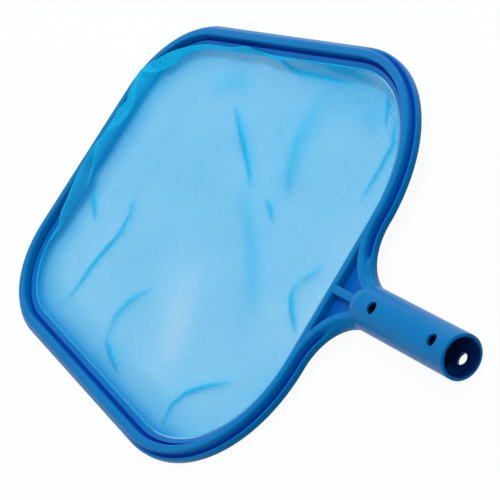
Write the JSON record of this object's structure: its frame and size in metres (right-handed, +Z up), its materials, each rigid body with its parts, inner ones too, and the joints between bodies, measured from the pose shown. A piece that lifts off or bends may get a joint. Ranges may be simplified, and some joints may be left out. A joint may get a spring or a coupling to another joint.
{
  "type": "leaf skimmer net",
  "caption": "Flat pool skimmer head: a moulded hoop of rounded trapezoid outline with a fine net, on a tubular socket for a telescopic pole.",
  "frame": {"origin": "centre of the pole socket's mouth, on the socket's axis", "axes": "+Y out of the socket's mouth along its axis, +Z up, square to the flat hoop, +X across the head"},
  "size_m": [0.2896, 0.4552, 0.029],
  "materials": {
    "frame_plastic": "satin moulded polypropylene",
    "net_mesh": "fine translucent knitted mesh"
  },
  "bodies": {
    "root": {"rim_far": "frame_plastic", "rim_far_corner_left": "frame_plastic", "rim_far_corner_right": "frame_plastic", "rim_side_left": "frame_plastic", "rim_side_right": "frame_plastic", "rim_near_corner_left": "frame_plastic", "rim_near_corner_right": "frame_plastic", "yoke": "frame_plastic", "socket": "frame_plastic", "net": "net_mesh"}
  },
  "joints": []
}
